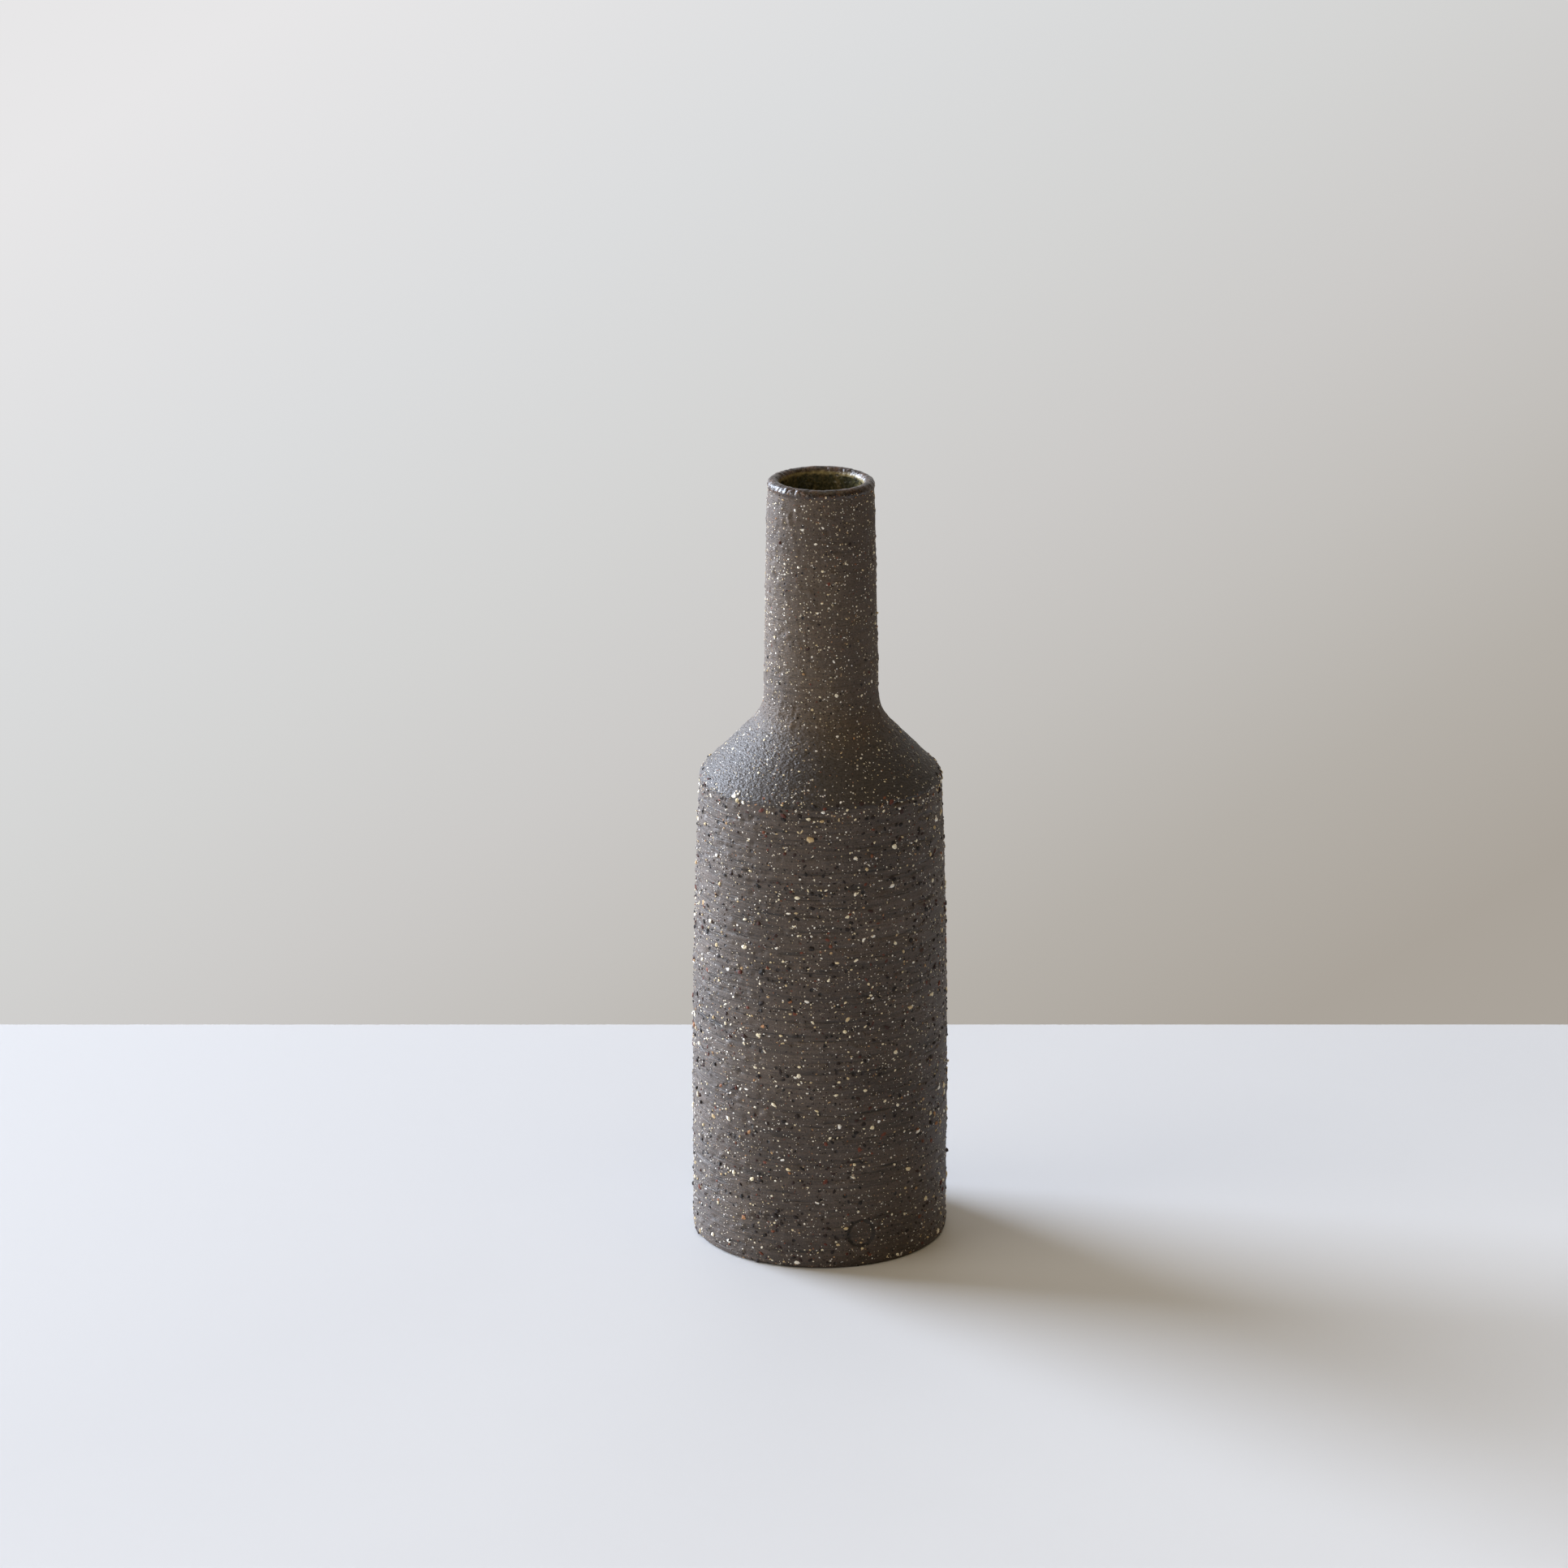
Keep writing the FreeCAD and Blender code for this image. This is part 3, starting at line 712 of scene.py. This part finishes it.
liner_back = joined(
    line((0, floor_height), (inner_radius - floor_round, floor_height), 4 * MM),
    arc((inner_radius - floor_round, floor_height + floor_round), floor_round, -90, 0, 2 * MM),
    line((inner_radius, floor_height + floor_round), (inner_radius, straight_height), 15 * MM),
    drawn_in((inner_radius, straight_height), inner_top, 12 * MM),
    line(inner_top, inner_foot, 1 * MM), line(inner_foot, inner_arc[0], 3 * MM), inner_arc,
    line(inner_arc[-1], (bore_radius, liner_top), 6 * MM),
)
bore_glazed = bore_radius - glaze_coat
glazed_top = (inner_top[0] - glaze_coat, inner_top[1])
glazed_foot = (glazed_top[0], inner_foot[1] - glaze_coat * 0.41)
glazed_arc = rounded(glazed_foot, (bore_glazed, inner_root - glaze_coat * 0.41),
                     (bore_glazed, liner_top), inner_root_round + glaze_coat, 0.6 * MM)
glazed_radius = inner_radius - glaze_coat
glazed_round = floor_round - glaze_coat
pool_top = floor_height + glaze_pool
liner_face = joined(
    line((bore_glazed, liner_top), glazed_arc[-1], 0.8 * MM), glazed_arc[::-1],
    line(glazed_arc[0], glazed_foot, 1 * MM), line(glazed_foot, glazed_top, 1 * MM),
    drawn_in((glazed_radius, straight_height), glazed_top, 2 * MM)[::-1],
    line((glazed_radius, straight_height), (glazed_radius, pool_top + glazed_round), 2 * MM),
    arc((glazed_radius - glazed_round, pool_top + glazed_round), glazed_round, 0, -90, 1 * MM),
    line((glazed_radius - glazed_round, pool_top), (0, pool_top), 2 * MM),
)
liner_outline = joined(liner_back, liner_face)
on_glaze = np.zeros(len(liner_outline))
on_glaze[len(liner_back) + 2:-8] = 1
liner = turned("liner_glaze_coat", liner_outline, 160, liner_relief, on_glaze)


LINER_COLOURS = [
    (0.42, "#1b1b13"), (0.54, "#34342a"), (0.64, "#4c4a33"), (0.74, "#6e6345"), (0.86, "#a39a7c"),
]
BREAK_COLOUR = "#94875f"


def fired_glaze(name, thick, thin, patch, run, roughness):
    """A glossy stoneware glaze, IOR 1.52. Its colours are thick ones inside the bore and thin
    ones over the lip, patch is how wide the colour breaks are in mm, and run is how much longer
    than wide they are down the wall. Low on the outside of the lip it soaks dry into the clay."""
    material, tree = empty_material(name)
    place = add(tree, "ShaderNodeTexCoord").outputs["Object"]
    flow = add(tree, "ShaderNodeMapping", {
        "Vector": place, "Scale": (1000 / patch, 1000 / patch, 1000 / patch / run)}).outputs[0]
    breaks = add(tree, "ShaderNodeTexNoise", {
        "Vector": flow, "Scale": 1, "Detail": 5, "Roughness": 0.6, "Distortion": 0.4}).outputs[0]
    fine = add(tree, "ShaderNodeTexNoise", {"Vector": place, "Scale": 1500, "Detail": 3}).outputs[0]
    mixed = add(tree, "ShaderNodeMath", {0: fine, 1: 0.3, 2: breaks}, operation="MULTIPLY_ADD").outputs[0]
    thick = add(tree, "ShaderNodeValToRGB", {"Fac": mixed}, stops=thick).outputs[0]
    thin = add(tree, "ShaderNodeValToRGB", {"Fac": mixed}, stops=thin).outputs[0]
    # the glaze is thin on the lip and 2 mm down its inside, and breaks to tan at its ragged edge
    level = add(tree, "ShaderNodeVectorMath", {0: place, 1: (1, 1, 0)}, operation="MULTIPLY").outputs[0]
    radius = add(tree, "ShaderNodeVectorMath", {0: level}, operation="LENGTH").outputs["Value"]
    outward = add(tree, "ShaderNodeMapRange", {
        0: radius, 1: bore_radius + 0.4 * MM, 2: bore_radius + 0.9 * MM}).outputs[0]
    rise = add(tree, "ShaderNodeSeparateXYZ", {0: place}).outputs["Z"]
    on_neck = add(tree, "ShaderNodeMath", {0: rise, 1: collar_seam}, operation="GREATER_THAN")
    outward = add(tree, "ShaderNodeMath", {0: outward, 1: on_neck.outputs[0]}, operation="MULTIPLY")
    wavy = add(tree, "ShaderNodeMath", {0: breaks, 1: 2 * MM, 2: rise}, operation="MULTIPLY_ADD").outputs[0]
    upward = add(tree, "ShaderNodeMapRange", {
        0: wavy, 1: liner_top + 0.8 * MM, 2: liner_top + 2.2 * MM}).outputs[0]
    thinned = add(tree, "ShaderNodeMath", {0: outward.outputs[0], 1: upward}, operation="MAXIMUM").outputs[0]
    to_tan = add(tree, "ShaderNodeMapRange", {0: thinned, 1: 0, 2: 0.45}).outputs[0]
    to_thin = add(tree, "ShaderNodeMapRange", {0: thinned, 1: 0.55, 2: 1}).outputs[0]
    colour = add(tree, "ShaderNodeMix", {
        0: to_tan, 6: thick, 7: linear(BREAK_COLOUR)}, data_type="RGBA").outputs[2]
    colour = add(tree, "ShaderNodeMix", {0: to_thin, 6: colour, 7: thin}, data_type="RGBA").outputs[2]
    # the grog under the glaze lifts pebbles about 1 mm apart, with soft orange peel between
    pebbled = add(tree, "ShaderNodeTexVoronoi", {"Vector": place, "Scale": 1000 / 1.1},
                  feature="SMOOTH_F1").outputs["Distance"]
    height = add(tree, "ShaderNodeMath", {0: fine, 1: 1, 2: pebbled},
                 operation="MULTIPLY_ADD").outputs[0]
    bump = add(tree, "ShaderNodeBump", {"Height": height, "Distance": 0.22 * MM, "Strength": 1})
    rough = add(tree, "ShaderNodeMapRange", {0: fine, 1: 0.3, 2: 0.7,
                                             3: roughness * 0.7, 4: roughness * 1.6}).outputs[0]
    dry = add(tree, "ShaderNodeMapRange", {
        0: wavy, 1: lip_centre + 0.1 * MM, 2: lip_centre + 0.9 * MM, 3: 1, 4: 0}).outputs[0]
    dry = add(tree, "ShaderNodeMath", {0: dry, 1: outward.outputs[0]}, operation="MULTIPLY").outputs[0]
    soaked = add(tree, "ShaderNodeValToRGB", {"Fac": mixed}, stops=[
        (0.5, "#3a2f27"), (0.8, "#54483b")]).outputs[0]
    colour = add(tree, "ShaderNodeMix", {0: dry, 6: colour, 7: soaked}, data_type="RGBA").outputs[2]
    rough = add(tree, "ShaderNodeMix", {0: dry, 2: rough, 3: 0.6}).outputs[0]
    glass = add(tree, "ShaderNodeBsdfPrincipled", {
        "Base Color": colour, "Roughness": rough, "Normal": bump.outputs[0], "IOR": 1.52})
    add(tree, "ShaderNodeOutputMaterial", {0: glass.outputs[0]})
    return material


liner.data.materials.append(fired_glaze("olive liner glaze", LINER_COLOURS, LINER_COLOURS, 4, 3, 0.1))
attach(liner, "root")
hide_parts("liner_glaze")

# ---- Lip glaze -----------------------------------------------------------------------------
# The lip is dipped in the same glaze, thinly. Thin glaze over dark clay breaks to plum brown
# outside and on the crest, and turns olive down the inside, where it lies as thick as the liner.
# Its lower edge soaks in dry, and small grog shows through it, tinted tan and rust.

GLAZED_GROG_COLOURS = [
    (0, "#2a1c15"), (0.3, "#6b3b24"), (0.45, "#a8703f"), (0.65, "#d3b083"), (0.85, "#f1e2c2"),
]
rim_drop = 0.7 * MM
rim_feather = 0.6 * MM
rim_pebbles = Ripple(34, 90, 1.1 * MM)
rim_outside = lip_radius + rim_coat
rim_inside = bore_radius - glaze_coat
rim_crown = ((rim_outside + rim_inside) / 2, lip_centre)


def rim_relief(turn, height, radius):
    """Follows the lip under it, with grog showing through as soft pebbles."""
    return sag(turn, height) * sag_depth + rim_pebbles(turn, height) * 0.1 * MM


rim_face = joined(
    line((lip_radius + 0.02 * MM, lip_centre - rim_drop),
         (rim_outside, lip_centre - rim_drop + rim_feather), 0.15 * MM),
    line((rim_outside, lip_centre - rim_drop + rim_feather), (rim_outside, lip_centre), 0.25 * MM),
    arc(rim_crown, rim_outside - rim_crown[0], 0, 180, 0.25 * MM),
    line((rim_inside, lip_centre), (rim_inside, liner_top), 0.35 * MM),
)
rim_back = joined(
    line((bore_radius, liner_top), (bore_radius, lip_centre), 1 * MM),
    arc(lip_crown, (lip_radius - bore_radius) / 2, 180, 0, 0.6 * MM),
    line((lip_radius, lip_centre), (lip_radius, lip_centre - rim_drop), 0.6 * MM),
)
on_rim = np.zeros(len(rim_face) + len(rim_back))
on_rim[:len(rim_face)] = 1
rim = turned("lip_glaze_coat", np.concatenate([rim_face, rim_back]), 300, rim_relief, on_rim)
rim.data.materials.append(fired_glaze("plum brown lip glaze", LINER_COLOURS, [
    (0.42, "#1a1411"), (0.56, "#2a211c"), (0.7, "#3d2e25"), (0.84, "#5c4230"), (0.95, "#a07650"),
], 2, 1, 0.28))
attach(rim, "root")
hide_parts("rim_glaze")
lip_edge = line((rim_outside, lip_centre - rim_drop - 0.1 * MM), (rim_outside, lip_centre + 0.3 * MM),
                0.2 * MM)
lip_grog = grog("lip_grog", 28, lip_edge, [(90, 0.25, 0.65, 0.14, fine_chip)])
lip_grog.data.materials.append(fired_grog("grog under thin glaze", GLAZED_GROG_COLOURS, 0.4))
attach(lip_grog, "root")

# ---- Floor, light and camera ---------------------------------------------------------------
# A pale honed slab with its back edge behind the vase, with painted light lightening it towards the front
# right, and a far wall that glows with painted daylight.
# One large soft window stands to the left and a little behind. A weak window beside it, a weak
# warm ceiling light and the dim warm room fill the shade.

slab_back = 0.161
slab_thickness = 0.03


def block(name, low, high):
    """A plain box between two corners, in metres, that is shown but is no part of the vase."""
    made = bpy.data.meshes.new(name)
    shape = bmesh.new()
    bmesh.ops.create_cube(shape, size=1)
    low, high = Vector(low), Vector(high)
    for corner in shape.verts:
        corner.co = [(low[i] + high[i]) / 2 + corner.co[i] * (high[i] - low[i]) for i in range(3)]
    shape.to_mesh(made)
    shape.free()
    piece = bpy.data.objects.new(name, made)
    bpy.context.scene.collection.objects.link(piece)
    return piece


def honed_slab():
    """A pale honed slab, IOR 1.45, with barely visible clouds 150 mm wide, and painted light that makes it
    slowly lighter towards the front right."""
    material, tree = empty_material("honed pale slab")
    place = add(tree, "ShaderNodeTexCoord").outputs["Object"]
    cloud = add(tree, "ShaderNodeTexNoise", {"Vector": place, "Scale": 7, "Detail": 3}).outputs[0]
    # painted light: the colour lightens towards the front right, where the window's light on the floor falls
    # off
    slope = add(tree, "ShaderNodeVectorMath", {0: place, 1: (1.6, -1.1, 0)}, operation="DOT_PRODUCT")
    slope = add(tree, "ShaderNodeMath", {0: cloud, 1: 0.3, 2: slope.outputs["Value"]},
                operation="MULTIPLY_ADD").outputs[0]
    tone = add(tree, "ShaderNodeValToRGB", {"Fac": slope}, stops=[
        (0, "#c6c7c9"), (0.7, "#d4d5d6")]).outputs[0]
    matte = add(tree, "ShaderNodeBsdfPrincipled", {"Base Color": tone, "Roughness": 0.6, "IOR": 1.45})
    add(tree, "ShaderNodeOutputMaterial", {0: matte.outputs[0]})
    return material


slab = block("slab", (-3, -4, -slab_thickness), (3, slab_back, 0))
slab.data.materials.append(honed_slab())


def painted_daylight_wall():
    """The far wall glows with painted daylight, painted lighter to the upper left."""
    material, tree = empty_material("wall glowing with painted daylight")
    place = add(tree, "ShaderNodeTexCoord").outputs["Object"]
    apart = add(tree, "ShaderNodeSeparateXYZ", {0: place})
    level = add(tree, "ShaderNodeMapRange", {0: apart.outputs["Z"], 1: -0.9, 2: -0.05, 3: 0.12, 4: 0.67})
    slope = add(tree, "ShaderNodeMath", {0: apart.outputs["X"], 1: -0.42, 2: level.outputs[0]},
                operation="MULTIPLY_ADD").outputs[0]
    tone = add(tree, "ShaderNodeValToRGB", {"Fac": slope}, stops=[
        (0, "#aaa39a"), (0.12, "#b5b0a9"), (0.24, "#c3c0bc"), (0.34, "#cccac8"), (0.46, "#d4d4d3"),
        (0.6, "#dcddde"), (0.8, "#e8e7e8")]).outputs[0]
    # painted light: the wall's own glow stands in for the daylight falling on it
    glow = add(tree, "ShaderNodeEmission", {"Color": tone})
    add(tree, "ShaderNodeOutputMaterial", {0: glow.outputs[0]})
    return material


backdrop = block("backdrop", (-6, 2.5, -3), (6, 2.55, 5))
backdrop.data.materials.append(painted_daylight_wall())

world = bpy.data.worlds.new("dim room")
world.use_nodes = True
room = world.node_tree
room.nodes.clear()
seen = add(room, "ShaderNodeLightPath").outputs["Is Camera Ray"]
dim = add(room, "ShaderNodeBackground", {"Color": linear("#eccf9c"), "Strength": 0.13}).outputs[0]
pale = add(room, "ShaderNodeBackground", {"Color": linear("#d8d7d4"), "Strength": 1}).outputs[0]
shown_room = add(room, "ShaderNodeMixShader", {0: seen, 1: dim, 2: pale}).outputs[0]
add(room, "ShaderNodeOutputWorld", {0: shown_room})
bpy.context.scene.world = world

vase_middle = Vector((0, 0, vase_height / 2))


def window(name, place, width, height, power, colour):
    """A soft rectangular light that faces the vase, in metres and watts."""
    light = bpy.data.lights.new(name, "AREA")
    light.shape = "RECTANGLE"
    light.size = width
    light.size_y = height
    light.energy = power
    light.color = linear(colour)[:3]
    lamp = bpy.data.objects.new(name, light)
    lamp.location = place
    lamp.rotation_euler = (vase_middle - Vector(place)).to_track_quat("-Z", "Y").to_euler()
    bpy.context.scene.collection.objects.link(lamp)


window("window", (-2.6, 2.2, 1.2), 3.6, 2.2, 680, "#e2edff")
window("window_beside", (-2.3, -1, 0.8), 2, 1.4, 35, "#f8f1e6")
window("ceiling", (0.3, -0.5, 2.5), 2, 2, 15, "#fbe4c0")

view_tilt = 17.58
camera_height = 0.5985
camera_distance = 1.483
camera_side = -0.01002
view_lens = 130.43478
camera = bpy.data.cameras.new("camera")
camera.lens = view_lens
camera_stand = bpy.data.objects.new("camera", camera)
camera_stand.location = (camera_side, -camera_distance, camera_height)
camera_stand.rotation_euler = (math.radians(90 - view_tilt), 0, 0)
bpy.context.scene.collection.objects.link(camera_stand)
bpy.context.scene.camera = camera_stand
bpy.context.scene.view_settings.view_transform = "Standard"
